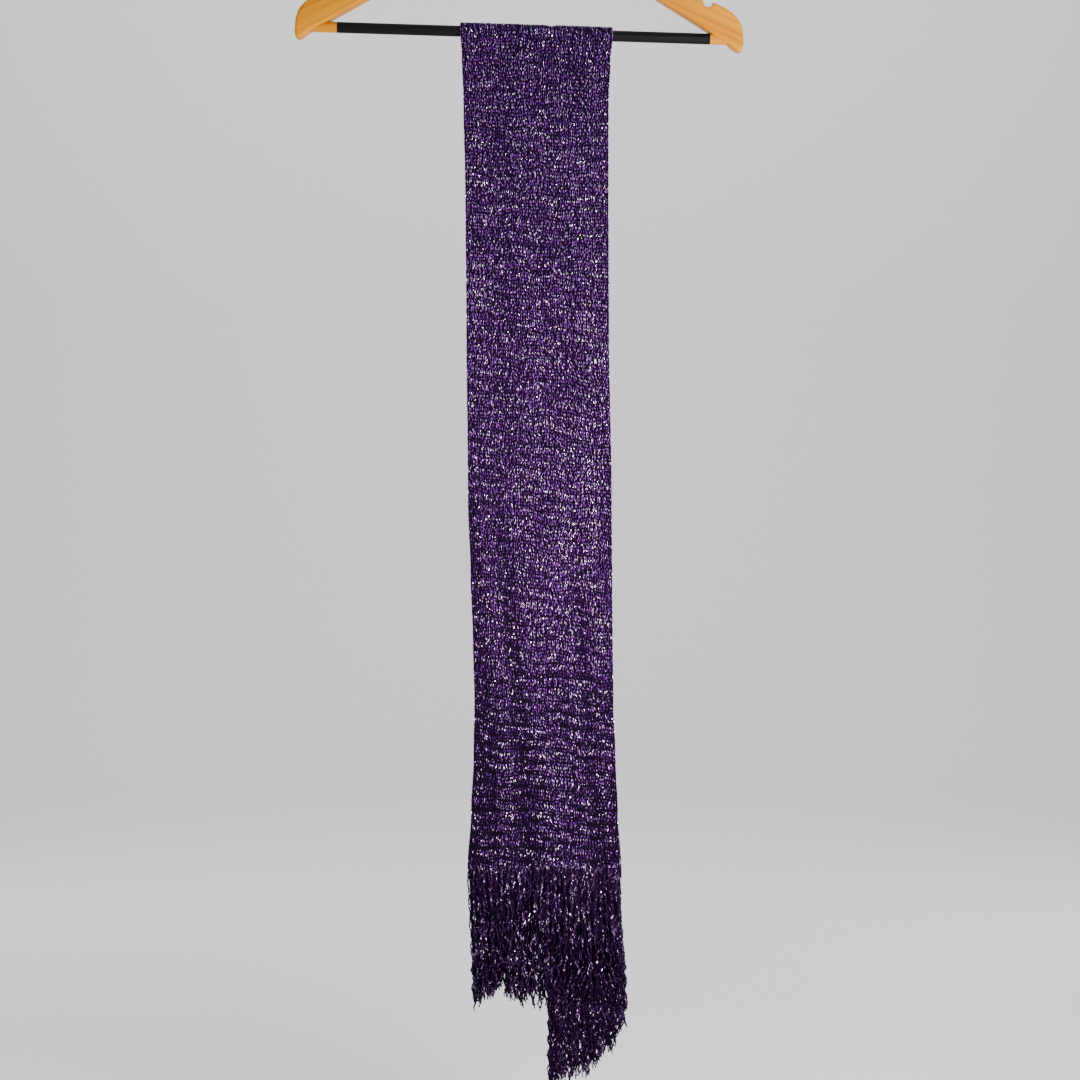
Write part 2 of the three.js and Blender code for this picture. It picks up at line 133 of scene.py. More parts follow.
# Long soft folds in mm: a trough from (x0, drop0) to (x1, drop1), a ridge where depth is negative.
FRONT_FOLDS = table(
    "x0 drop0 x1 drop1 depth half grow",
    (-24, 400, 9, 832, 4.2, 8, 190),
    (-31, 590, -26, 832, 2.2, 6, 90),
    (-6, 560, -12, 832, -1.6, 7, 120),
    (52, 470, 80, 832, 2.4, 7, 130),
    (26, 680, 29, 832, -1.8, 9, 90),
    (-12, 20, -20, 380, 0.9, 10, 60),
    (66, 120, 72, 460, -0.9, 9, 80),
)
BACK_FOLDS = table(
    "x0 drop0 x1 drop1 depth half grow",
    (-6, 300, -22, 842, 3.4, 9, 180),
    (62, 380, 74, 920, 3.0, 8, 160),
    (10, 560, 4, 842, -1.8, 8, 120),
    (40, 60, 46, 460, 1.0, 10, 80),
)

# Short creases that run across the cloth near its hems, in mm: `reach` is half their length.
FRONT_CREASES = table(
    "x drop reach slope depth half",
    (83, 756, 16, -0.45, 1.5, 4.0),
    (15, 784, 15, 0.05, 1.2, 3.5),
    (8, 808, 11, -0.35, 1.3, 3.5),
    (78, 819, 23, -0.12, 1.6, 3.5),
    (-24, 700, 18, 0.10, 1.0, 4.5),
    (88, 664, 12, 0.20, 1.1, 4.0),
    (40, 722, 17, -0.08, 1.0, 4.5),
    (70, 790, 14, 0.15, 1.2, 3.5),
    (-36, 772, 13, -0.20, 1.1, 4.0),
    (36, 640, 14, 0.12, 0.8, 5.0),
)
BACK_CREASES = table(
    "x drop reach slope depth half",
    (70, 742, 18, 0.30, 1.3, 4.0),
    (8, 790, 16, -0.10, 1.2, 3.5),
    (-30, 712, 14, 0.18, 1.0, 4.5),
    (52, 818, 22, -0.06, 1.5, 3.5),
    (26, 668, 15, 0.14, 0.9, 4.5),
    (-22, 822, 13, 0.10, 1.2, 3.5),
)

FRONT_FALL = dict(
    side=-1,
    outline=FRONT_OUTLINE,
    folds=FRONT_FOLDS,
    creases=FRONT_CREASES,
    roll=dict(left=4.4, right=1.2, width=11, start=360, full=560),
    hem=832,
    corner_drop=0,
)
BACK_FALL = dict(
    side=1,
    outline=BACK_OUTLINE,
    folds=BACK_FOLDS,
    creases=BACK_CREASES,
    roll=dict(left=3.0, right=2.0, width=9, start=420, full=660),
    hem=842,
    corner_drop=78,
)
CORNER_CURVE = 1.6  # how soon the stretched corner of the back flap drops
ROW_PITCH = 12.6  # mm, between the wavy rows
ROW_MIDDLE = 22.0  # mm, where a course keeps its place along the cloth
SLIT_DIP = 1.2  # mm, the face sinks between the selvedges behind it
FOLD_FADE = 0.25  # of a fold's length, in which it dies away past its end
COURSE_SLOPE = dict(top=0.02, low=0.13, start=120, grow=380)  # mm down for each mm across
RIPPLE = dict(height=0.48, more=0.7, start=560, grow=220, clear=30)  # mm: it swells near the hem

# Loose courses wander in slow waves: sizes in mm, and the mm across and along for each radian.
ROW_WAVES = table("size across along shift", (3.0, 17.0, 61.0, 0), (1.6, 6.1, -37.0, 1.7))
COURSE_WAVES = table("size across along shift", (1.5, 11.0, 47.0, 0), (0.9, 4.6, -29.0, 0))


# -------------------- settings a user would change

COLOURS = dict(
    Deep=(0.020, 0.003, 0.038),
    Middle=(0.170, 0.027, 0.285),
    Bright=(0.54, 0.25, 0.70),
    Glint=(1.0, 0.84, 1.0),
    Wood=(0.55, 0.212, 0.0),
    Grain=(0.36, 0.118, 0.0),
    Sleeve=(0.0025, 0.0025, 0.0025),
    Hook=(0.72, 0.72, 0.74),
    Backdrop=(0.78, 0.78, 0.79),
)


def length_setting(name, description, default, least, most):
    return bpy.props.FloatProperty(
        name=name, description=description, default=default, min=least, max=most, unit="LENGTH"
    )


def colour_setting(name, description):
    return bpy.props.FloatVectorProperty(
        name=name, description=description, default=COLOURS[name], min=0, max=1, subtype="COLOR"
    )


class ShawlSizes(bpy.types.PropertyGroup):
    thickness: length_setting("Cloth thickness", "Thickness under the stitches", 0.0006, 0.0002, 0.002)
    stitch_pitch: length_setting("Course height", "Height of one row of stitches", 0.0034, 0.003, 0.01)
    stitch_length: length_setting("Stitch length", "Length of one leg of a stitch", 0.0041, 0.002, 0.01)
    stitch_width: length_setting("Yarn width", "Width of the yarn in a stitch", 0.0012, 0.0005, 0.003)
    fringe_length: length_setting("Fringe length", "Length of a strand below the hem", 0.134, 0.02, 0.3)
    fringe_pitch: length_setting("Fringe pitch", "Distance between strands", 0.0019, 0.0015, 0.01)


class YarnColours(bpy.types.PropertyGroup):
    deep: colour_setting("Deep", "Colour of the yarn in the knit's depth")
    middle: colour_setting("Middle", "Colour of most of the metallic yarn")
    bright: colour_setting("Bright", "Colour of the yarn where its foil faces out")
    glint: colour_setting("Glint", "Colour of the barest foil")


class HangerColours(bpy.types.PropertyGroup):
    wood: colour_setting("Wood", "Colour of the pale wood between the grain lines")
    grain: colour_setting("Grain", "Colour of the grain lines")
    sleeve: colour_setting("Sleeve", "Colour of the bar's grip sleeve")
    steel: colour_setting("Hook", "Colour of the steel hook")


class StageSettings(bpy.types.PropertyGroup):
    backdrop: colour_setting("Backdrop", "Colour of the floor and the backdrop")
    key_power: bpy.props.FloatProperty(
        name="Key light", description="Power that the lights share", default=46, min=0, subtype="POWER"
    )
    view_distance: length_setting("Camera distance", "From the camera to the shawl", 2.2, 1, 10)
    view_width: length_setting("View width", "Width of the view at the shawl", 1.0719, 0.5, 10)


# -------------------- the cloth's form


def smooth(t):
    """0 to 1, easing in and out, as t goes from 0 to 1."""
    t = np.clip(t, 0, 1)
    return t * t * (3 - 2 * t)


def eased(value, start, grow):
    """0 up to `start`, then up to 1 over the next `grow`."""
    return smooth((value - start) / grow)


def bell(offset, half):
    """1 in the middle, dying away over about `half` to each side."""
    return np.exp(-((offset / half) ** 2))


def mix(a, b, t):
    return a + (b - a) * t


def outline_at(outline, drop):
    """The outline's columns at each drop, eased from row to row."""
    drops = np.array([row["drop"] for row in outline], float)
    i = np.clip(np.searchsorted(drops, drop, side="right") - 1, 0, len(drops) - 2)
    t = smooth((drop - drops[i]) / (drops[i + 1] - drops[i]))
    edges = {}
    for key in ("left", "right", "slit", "half"):
        column = np.array([row[key] for row in outline], float)
        edges[key] = mix(column[i], column[i + 1], t)
    return edges


def section(edges, u):
    """x and depth in mm of the cloth's middle at column u, with depth counted out from the bar."""
    span = np.clip(np.floor(u), RIGHT_FLAP, LEFT_FLAP).astype(int)
    turn = math.pi * (u - span)
    slit, half = edges["slit"], edges["half"]
    right, left = edges["right"] - FOLD_INSET, edges["left"] + FOLD_INSET
    ends = [slit + half, right, right, left, left, slit - half]
    fold = FOLD_RADIUS * np.choose(span, [0, 1, 0, -1, 0])
    x = mix(np.choose(span, ends[:-1]), np.choose(span, ends[1:]), u - span) + fold * np.sin(turn)
    sunk = FACE_DEPTH - SLIT_DIP * bell(x - slit, half)
    depths = [FLAP_DEPTH, FOLD_CENTRE, sunk, FOLD_CENTRE, FLAP_DEPTH]
    return x, np.choose(span, depths) - fold * np.cos(turn)


def relief(fall, x, drop):
    """How far in mm the fall stands out at a point, negative in a trough."""
    edges = outline_at(fall["outline"], np.clip(drop, 0, fall["hem"]))
    roll = fall["roll"]
    sunk = eased(drop, roll["start"], roll["full"] - roll["start"]) * (
        roll["left"] * bell(x - edges["left"], roll["width"])
        + roll["right"] * bell(x - edges["right"], roll["width"])
    )
    for fold in fall["folds"]:
        along = (drop - fold["drop0"]) / (fold["drop1"] - fold["drop0"])
        swell = eased(drop, fold["drop0"], fold["grow"]) * smooth((1 + FOLD_FADE - along) / FOLD_FADE)
        sunk = sunk + fold["depth"] * swell * bell(x - mix(fold["x0"], fold["x1"], along), fold["half"])
    for crease in fall["creases"]:
        aside = x - crease["x"]
        line = crease["drop"] - crease["slope"] * aside
        fade = bell(aside, crease["reach"])
        sunk = sunk + crease["depth"] * fade * bell(drop - line, crease["half"])
    return -sunk


def wander(waves, x, length):
    return sum(w["size"] * np.sin(x / w["across"] + length / w["along"] + w["shift"]) for w in waves)


def skew(x, length):
    """How far down the cloth, in mm, a course has slipped at x: courses slope more below the middle."""
    low = eased(length, COURSE_SLOPE["start"], COURSE_SLOPE["grow"])
    return (x - ROW_MIDDLE) * mix(COURSE_SLOPE["top"], COURSE_SLOPE["low"], low)


def row_phase(x, length):
    """How far along its wave the cloth is: one turn from each wavy row across it to the next."""
    return (length + wander(ROW_WAVES, x, length) - skew(x, length)) * 2 * math.pi / ROW_PITCH


def ripple(x, length):
    """Wavy rows across the cloth, in mm: loose courses that bulge out, more so near the hem."""
    height = RIPPLE["height"] + RIPPLE["more"] * eased(length, RIPPLE["start"], RIPPLE["grow"])
    return height * np.sin(row_phase(x, length))


def fall_point(fall, u, length):
    """Points in mm at columns u and `length` of cloth from the bar's top."""
    run = np.maximum(length - QUARTER_TURN, 0)
    share = run / fall["hem"]
    edges = outline_at(fall["outline"], np.clip(run, 0, fall["hem"]))
    x, depth = section(edges, u)
    foot = outline_at(fall["outline"], np.full_like(run, fall["hem"]))
    reach = (foot["right"] - x) / (foot["right"] - foot["slit"] - foot["half"])
    stretched = fall["corner_drop"] * (1 - (1 - np.clip(reach, 0, 1)) ** CORNER_CURVE)
    hem = fall["hem"] + np.where(u < RIGHT_FOLD, stretched, 0)
    z = mix(-x * math.tan(LEAN), -hem, share)
    turn = np.minimum(length / QUARTER_TURN, 1) * math.pi / 2
    rippled = ripple(x, length) * smooth(run / RIPPLE["clear"])
    out = BAR_GAP + depth + relief(fall, x, -z) * (run > 0) + rippled
    return np.stack([x, fall["side"] * out * np.sin(turn), z + out * np.cos(turn)], axis=-1)


def cloth_point(u, v):
    """Points in mm of the whole shawl: v is its length from the bar's top, negative at the back."""
    u, v = np.broadcast_arrays(np.asarray(u, float), np.asarray(v, float))
    front = fall_point(FRONT_FALL, u, np.abs(v))
    back = fall_point(BACK_FALL, u, np.abs(v))
    return np.where((v >= 0)[..., None], front, back)


def unit(vectors):
    return vectors / np.maximum(np.linalg.norm(vectors, axis=-1, keepdims=True), 1e-9)


def cloth_frame(u, v):
    """Points with unit vectors across the cloth, along it and out of it."""
    step_u, step_v = 0.01, 0.4
    here = cloth_point(u, v)
    across = unit(cloth_point(u + step_u, v) - cloth_point(u - step_u, v))
    along = unit(cloth_point(u, v + step_v) - cloth_point(u, v - step_v))
    out = unit(np.cross(across, along))
    return here, across, along, out


# -------------------- meshes and materials


def new_object(name, data):
    """An object in the scene for a mesh, a light or a camera."""
    made = bpy.data.objects.new(name, data)
    bpy.context.scene.collection.objects.link(made)
    return made


def mesh_object(name, points, faces, material, smooth_shading):
    """A new object from points in metres in the frame."""
    mesh = bpy.data.meshes.new(name)
    mesh.from_pydata(points, [], faces)
    mesh.polygons.foreach_set("use_smooth", [smooth_shading] * len(faces))
    mesh.update()
    mesh.materials.append(material)
    return new_object(name, mesh)


def knit_piece(name, points, faces, material, sparkle=None):
    """A piece from points in mm from the bar's middle, smooth where it has no sparkle of its own."""
    place = points * MM + np.array(BAR_MIDDLE)
    piece = mesh_object(name, place.tolist(), faces, material, smooth_shading=sparkle is None)
    if sparkle is not None:
        layer = piece.data.attributes.new("sparkle", "FLOAT", "FACE")
        layer.data.foreach_set("value", sparkle.astype(np.float32))
    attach(piece, BODY)
    return piece


class Nodes:
    """Short calls to place, set and link shader nodes in one tree."""

    def __init__(self, tree):
        self.tree = tree

    def feed(self, node, sockets):
        """Set a node's inputs, or link them where the value is another node's output."""
        for key, value in sockets.items():
            socket = node.inputs[key]
            if isinstance(value, bpy.types.NodeSocket):
                self.tree.links.new(value, socket)
            else:
                socket.default_value = (*value, 1) if socket.type == "RGBA" else value

    def add(self, kind, sockets=None, **settings):
        node = self.tree.nodes.new(kind)
        for key, value in settings.items():
            setattr(node, key, value)
        self.feed(node, sockets or {})
        return node

    def place(self):
        """The shaded point, in metres on its own piece."""
        return self.add("ShaderNodeTexCoord").outputs["Object"]

    def maths(self, operation, *values):
        return self.add("ShaderNodeMath", dict(enumerate(values)), operation=operation).outputs[0]

    def noise(self, place, scale, **sockets):
        sockets.update(Vector=place, Scale=scale)
        return self.add("ShaderNodeTexNoise", sockets).outputs["Fac"]

    def share(self, value, low, high, kind="LINEAR"):
        """0 to 1 as the value goes from `low` to `high`."""
        sockets = {"Value": value, "From Min": low, "From Max": high}
        return self.add("ShaderNodeMapRange", sockets, interpolation_type=kind).outputs["Result"]

    def blend(self, factor, a, b):
        """Colour `a` turning into colour `b` as the factor goes from 0 to 1."""
        return self.add("ShaderNodeMix", {0: factor, 6: a, 7: b}, data_type="RGBA").outputs[2]

    def bump(self, height, strength, distance):
        sockets = dict(Height=height, Strength=strength, Distance=distance)
        return self.add("ShaderNodeBump", sockets).outputs["Normal"]

    def ramp(self, factor, stops):
        node = self.add("ShaderNodeValToRGB", dict(Fac=factor))
        for element, (position, colour) in zip(node.color_ramp.elements, stops):
            element.position = position
            element.color = (*colour, 1)
        return node.outputs["Color"]


SOCKETS = dict(RGBA="NodeSocketColor", VECTOR="NodeSocketVector", VALUE="NodeSocketFloat")


def shared_group(name, inputs, build):
    """A shader node group, made once, whose inputs have these defaults.

    `build` is given the group's nodes and inputs, and returns what goes to each output.
    """
    if name in bpy.data.node_groups:
        return bpy.data.node_groups[name]
    group = bpy.data.node_groups.new(name, "ShaderNodeTree")
    nodes = Nodes(group)
    for label, default in inputs.items():
        colour = isinstance(default, tuple)
        kind = SOCKETS["RGBA" if colour else "VALUE"]
        socket = group.interface.new_socket(label, in_out="INPUT", socket_type=kind)
        socket.default_value = (*default, 1) if colour else default
    made = build(nodes, nodes.add("NodeGroupInput").outputs)
    for label, value in made.items():
        group.interface.new_socket(label, in_out="OUTPUT", socket_type=SOCKETS[value.type])
    nodes.add("NodeGroupOutput", made)
    return group


# The sparkle from which, and at which, each colour of the foil has taken over from the one before.
FOIL_STEPS = (("Middle", -0.02, 0.32), ("Bright", 0.52, 0.84), ("Glint", 0.84, 1.00))
FOIL_ROUGHNESS = (-0.24, 0.50)  # how much comes with the sparkle, and how much is there anyway
FOIL_METALLIC = dict(least=0.75, most=0.97)
MOST_SPARKLE = 1.1  # past the last step, so the yarn's grain hardly dims the barest foil


def foil_yarn_group():
    """Foil-wrapped yarn: its colour runs from deep to glint with the sparkle, which is how much bare
    foil faces out together with the light and shade painted into it.
    """

    def build(nodes, given):
        grain = nodes.noise(nodes.place(), given["Grain Size"], Detail=2)
        uneven = nodes.maths("SUBTRACT", grain, 0.5)
        sparkle = nodes.maths("MULTIPLY_ADD", uneven, given["Grain Depth"], given["Sparkle"])
        colour = given["Deep"]
        for label, low, high in FOIL_STEPS:
            colour = nodes.blend(nodes.share(sparkle, low, high, "SMOOTHSTEP"), colour, given[label])
        metallic = nodes.maths("ADD", FOIL_METALLIC["least"], sparkle)
        return dict(
            Colour=colour,
            Roughness=nodes.maths("MULTIPLY_ADD", sparkle, *FOIL_ROUGHNESS),
            Metallic=nodes.maths("MINIMUM", metallic, FOIL_METALLIC["most"]),
        )

    inputs = {label: COLOURS[label] for label in ("Deep", "Middle", "Bright", "Glint")}
    inputs.update({"Sparkle": 0.3, "Grain Size": 900.0, "Grain Depth": 0.9})
    return shared_group("Foil yarn", inputs, build)


def knit_relief_group():
    """Rows of small loops as a normal, for yarn too fine to be its own geometry."""

    def build(nodes, given):
        place, size = nodes.place(), given["Size"]
        sockets = {"Vector": place, "Scale": size, "Distortion": 3, "Detail Scale": 2}
        wave = nodes.add("ShaderNodeTexWave", sockets, wave_type="BANDS", bands_direction="X")
        loops = nodes.add("ShaderNodeTexVoronoi", dict(Vector=place, Scale=size))
        height = nodes.maths("ADD", wave.outputs["Fac"], loops.outputs["Distance"])
        normal = nodes.bump(height, given["Depth"], distance=0.0004)
        return dict(Normal=normal, Shade=wave.outputs["Fac"])

    return shared_group("Knit relief", dict(Size=400.0, Depth=0.6), build)


def new_material(name):
    material = bpy.data.materials.new(name)
    material.use_nodes = True
    return material, Nodes(material.node_tree), material.node_tree.nodes["Principled BSDF"]


def place_group(nodes, group, **sockets):
    """The group's outputs in a material. Each _ in an input's name here stands for a space."""
    sockets = {label.replace("_", " "): value for label, value in sockets.items()}
    return nodes.add("ShaderNodeGroup", sockets, node_tree=group).outputs


def yarn_material(name, grain, relief_size, shade=1.0):
    """Foil yarn lit by its sparkle attribute, with a grain of (size, depth) and darkened by `shade`."""
    if name in bpy.data.materials:
        return bpy.data.materials[name]
    colours = bpy.context.scene.yarn_colours
    material, nodes, shader = new_material(name)
    yarn = place_group(
        nodes,
        foil_yarn_group(),
        Deep=colours.deep * shade,
        Middle=colours.middle * shade,
        Bright=colours.bright * math.sqrt(shade),
        Glint=colours.glint,
        Sparkle=nodes.add("ShaderNodeAttribute", attribute_name="sparkle").outputs["Fac"],
        Grain_Size=grain[0],
        Grain_Depth=grain[1],
    )
    fibres = place_group(nodes, knit_relief_group(), Size=relief_size, Depth=0.35)
    sockets = {
        "Base Color": yarn["Colour"],
        "Roughness": yarn["Roughness"],
        "Metallic": yarn["Metallic"],
        "Normal": fibres["Normal"],
        "Specular IOR Level": 0.1,
    }
    nodes.feed(shader, sockets)
    return material


GROUND_SHADES = ((0.25, 0.06), (0.85, 0.3))  # stops, and shares of the deep yarn's colour


def cloth_material():
    """The dark plain ground seen between the bright stitches."""
    colours = bpy.context.scene.yarn_colours
    material, nodes, shader = new_material("Shawl ground knit")
    loops = place_group(nodes, knit_relief_group(), Size=420.0, Depth=0.8)
    stops = [(stop, colours.deep * share) for stop, share in GROUND_SHADES]
    sockets = {
        "Base Color": nodes.ramp(loops["Shade"], stops),
        "Normal": loops["Normal"],
        "Roughness": 0.8,
        "Specular IOR Level": 0.05,
    }
    nodes.feed(shader, sockets)
    return material


# -------------------- cloth and stitches

ACROSS_STEPS = (16, 4, 46, 4, 24)  # of the shell, in each span
FALL_STEPS = 178
BEND_STEPS = 14  # over the bar


def make_cloth(sizes):
    """The whole shawl as one thin closed shell, from the back hem over the bar to the front hem."""
    spans = [span + np.arange(count) / count for span, count in enumerate(ACROSS_STEPS)]
    across = np.concatenate([*spans, [LEFT_FLAP + 1]])
    lengths = np.concatenate(
        [
            np.linspace(-(QUARTER_TURN + BACK_FALL["hem"]), -QUARTER_TURN, FALL_STEPS, endpoint=False),
            np.linspace(-QUARTER_TURN, QUARTER_TURN, BEND_STEPS, endpoint=False),
            np.linspace(QUARTER_TURN, QUARTER_TURN + FRONT_FALL["hem"], FALL_STEPS),
        ]
    )
    u, v = np.meshgrid(across, lengths)
    here, _, _, out = cloth_frame(u, v)
    rows, columns = u.shape
    half = sizes.thickness / MM / 2
    points = np.concatenate([here + half * out, here - half * out]).reshape(-1, 3)
    index = np.arange(rows * columns).reshape(rows, columns)
    corners = [index[:-1, :-1], index[:-1, 1:], index[1:, 1:], index[1:, :-1]]
    upper = np.stack(corners, -1).reshape(-1, 4)
    lower = upper[:, [0, 3, 2, 1]] + rows * columns
    rim = np.concatenate([index[0, :], index[1:, -1], index[-1, -2::-1], index[-2:0:-1, 0]])
    next_rim = np.roll(rim, -1)
    sides = np.stack([next_rim, rim, rim + rows * columns, next_rim + rows * columns], -1)
    faces = np.concatenate([upper, lower, sides]).tolist()
    piece = knit_piece("shawl_cloth", points, faces, cloth_material())
    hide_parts("shawl_front_fall", "shawl_over_bar", "shawl_back_fall")
    return piece


# A sliver's angles are in degrees. Its lengths and widths are shares of the set ones, and its height
# is a share of its width. Its faces run between ends 0 and 1, sides 2 and 3, top 4 and underside 5.
SLIVER = dict(lean=9, twist=26, tilt=7, lengths=(0.8, 1.12), widths=(0.8, 1.15), height=0.42)
SLIVER_POINTS = 6
SLIVER_FACES = np.array(
    [(0, 2, 4), (2, 1, 4), (1, 3, 4), (3, 0, 4), (2, 0, 5), (1, 2, 5), (3, 1, 5), (0, 3, 5)]
)
FACETS = len(SLIVER_FACES)
UNEVEN = dict(column=0.38, stitch=0.26, across=0.0040, lift=0.09)  # mm, but `across` in columns
SLANT = dict(drift=22, zigzag=5)  # degrees that stitches lean, in patches and from row to row

# Slow noise over the cloth: the mm across and along that it takes to change, and where it starts.
NOISE = dict(slant=(26, 13, 5.1), runs=(24, 9, 3.7), patches=(34, 46, 11.3))
RUN_STEP = (47, 0, 31)  # mm in that noise from one course to the next, so each has its own runs
RUN_LIMITS = (-0.3, 0.7)

# What lights up or dims the yarn. Runs and patches are random tone, but runs are brighter on the row
# crests, a painted highlight.
# Wave is painted light and shade on the slopes of the rows. Trough, hollow and turned are painted shade:
# in the folds, in the rows' hollows and on the rolled-back left edge. Low is painted shade, darker
# towards the hem. Also the mm of cloth from which, and over which, some of it sets in.
TONE_AND_PAINTED_LIGHT = dict(runs=0.45, wave=0.09, patches=0.05, trough=-0.36, hollow_shade=-0.04, low=-0.09, turned=-0.10)
SETS_IN = dict(hollow_shade=(520, 240), low=(760, 90), turned=(400, 120))
PLAIN_RUNS = 0.4  # of a run of bright stitches shows away from a crest too
CREST_LEAD = 0.6  # radians of its wave by which a row's light runs ahead of its height
TROUGH = dict(full=2.2, least=-0.25, most=1.5)  # mm deep where the painted shade in a fold is full, and its limits
TURNED_SHADE_REACH = 34  # mm from the left edge, which is rolled back and darkened there by painted shade
YARN_SPREAD = (2.5, 3.6)  # beta distribution of the yarn's own sparkle
FACET_SPREAD = 0.20

# The share of facets that glint, how many more do on a crest and in a trough, and how brightly.
GLINTS = dict(share=0.09, crest=0.17, trough=0.07, least=0.88, more=0.3)


def clustered(points, key, seed=0):
    """Slow noise from about -1 to 1, drawn out into wavy rows."""
    across, along, start = NOISE[key]
    start += seed
    return np.array([noise.noise(Vector((x / across + start, z / along, start))) for x, _, z in points])


def slivers(here, across, along, out, lean, rng, sizes):
    """Small faceted yarn slivers, lying along the cloth at an angle of `lean`."""
    count = len(here)
    lean = lean + np.radians(rng.normal(0, SLIVER["lean"], count))
    twist = np.radians(rng.normal(0, SLIVER["twist"], count))
    tilt = np.radians(rng.normal(0, SLIVER["tilt"], count))
    length = sizes.stitch_length / MM * rng.uniform(*SLIVER["lengths"], count)
    width = sizes.stitch_width / MM * rng.uniform(*SLIVER["widths"], count)

    def turned(a, b, angle):
        return a * np.cos(angle)[:, None] + b * np.sin(angle)[:, None]

    axis = turned(along, across, lean)
    side = unit(np.cross(out, axis))
    axis = turned(axis, out, tilt)
    face = unit(np.cross(axis, side))
    side, face = turned(side, face, twist), turned(face, -side, twist)
    long = axis * (length / 2)[:, None]
    wide = side * (width / 2)[:, None]
    tall = face * (width * SLIVER["height"])[:, None]
    points = [here + long, here - long, here + wide, here - wide, here + tall, here - tall]
    faces = (np.arange(count) * SLIVER_POINTS)[:, None, None] + SLIVER_FACES[None]
    return np.stack(points, axis=1).reshape(-1, 3), faces.reshape(-1, 3).tolist()


def stitch_sparkle(here, length, row, fall, seed, rng):
    """How much bare foil each facet of the stitches shows, with painted highlights on the row crests and
    painted shade in folds, hollows, towards the hem and on the rolled-back edge.
    """
    x = here[:, 0]
    runs = clustered(here * [1, 0, 0] + np.outer(row, RUN_STEP), "runs", seed)
    # The wave is painted light on the side of each row that faces up and painted shade on the other;
    # crests get painted highlights.
    wave = np.sin(row_phase(x, length) + CREST_LEAD)
    crest = np.clip(wave, 0, 1) ** 3
    trough = np.clip(-relief(fall, x, -here[:, 2]) / TROUGH["full"], TROUGH["least"], TROUGH["most"])
    lit = dict(
        runs=np.clip(runs, *RUN_LIMITS) * (PLAIN_RUNS + crest),
        wave=wave,
        patches=clustered(here, "patches", seed),
        # Painted shade in the folds' troughs.
        trough=trough,
        # Painted shade in the hollows between the rows, growing towards the hem.
        hollow_shade=np.clip(-wave, 0, 1) * eased(length, *SETS_IN["hollow_shade"]),
        # Painted shade: the yarn is darker towards the hem.
        low=eased(length, *SETS_IN["low"]),
        # Painted shade on the rolled-back left edge.
        turned=bell(x - FRONT_OUTLINE[0]["left"], TURNED_SHADE_REACH) * eased(length, *SETS_IN["turned"]),
    )
    tone_and_painted_light = sum(TONE_AND_PAINTED_LIGHT[key] * value for key, value in lit.items())
    # More glints on the row crests: painted highlights.
    share = GLINTS["share"] + GLINTS["crest"] * crest + GLINTS["trough"] * np.clip(trough, 0, 1)
    glinting = rng.random(FACETS * len(x)) < np.repeat(share, FACETS)
    dull = np.repeat(rng.beta(*YARN_SPREAD, len(x)) + tone_and_painted_light, FACETS)
    facets = np.where(glinting, GLINTS["least"] + GLINTS["more"] * dull, dull)
    return np.clip(facets + rng.normal(0, FACET_SPREAD, len(facets)), 0, MOST_SPARKLE)


def stitch_field(name, columns, lengths, seed, lift):
    """A piece of stitches at the given columns and lengths of cloth, standing on the shell."""
    rng = np.random.default_rng(seed)
    u, v = np.meshgrid(columns, lengths)
    face_x, length = cloth_point(u, v)[..., 0], np.abs(v)
    uneven = rng.normal(0, UNEVEN["column"], len(columns)) + rng.normal(0, UNEVEN["stitch"], v.shape)
    v = np.copysign(length + wander(COURSE_WAVES, face_x, length) + uneven + skew(face_x, length), v)
    u = u + rng.normal(0, UNEVEN["across"], u.shape)
    row = np.arange(len(lengths))[:, None] + np.zeros(len(columns), int)
    hem = QUARTER_TURN + np.where(v >= 0, FRONT_FALL["hem"], BACK_FALL["hem"])
    kept = np.abs(v) < hem
    u, v, row = u[kept], v[kept], row[kept]
    here, across, along, out = cloth_frame(u, v)
    here = here + out * (lift + rng.normal(0, UNEVEN["lift"], len(u)))[:, None]
    lean = np.radians(SLANT["drift"]) * clustered(here, "slant")
    lean = lean + np.radians(SLANT["zigzag"]) * np.where(row % 2, 1, -1)
    points, faces = slivers(here, across, along, out, lean, rng, bpy.context.scene.shawl_sizes)
    fall = FRONT_FALL if np.mean(v) >= 0 else BACK_FALL
    sparkle = stitch_sparkle(here, np.abs(v), row, fall, seed, rng)
    material = yarn_material("Shawl foil yarn", grain=(950.0, 1.0), relief_size=1500.0)
    return knit_piece(name, points, faces, material, sparkle)


FIRST_SEED = 11
STITCH_LIFT = 0.45  # mm, from the cloth's middle out to the stitches
CLEAR_OF_BAR = 14  # mm of each fall where the folded-in edges lie against the bar
CORNER_FROM = 600  # mm down the back fall, where its loose flap starts to show
SPARE = 14  # mm of courses past each hem, trimmed where they don't slope back onto the cloth
COLUMNS = {RIGHT_FLAP: 22, RIGHT_FOLD: 2, FACE: 66, LEFT_FOLD: 2, LEFT_FLAP: 45}  # of stitches
CORNER_COLUMNS = 28  # of them on the stretched corner
EDGE_COLUMNS = 8  # of each flap that show inside its folded edge


def even_columns(span, count):
    """Columns that are spread evenly over a span."""
    return span + (np.arange(count) + 0.5) / count


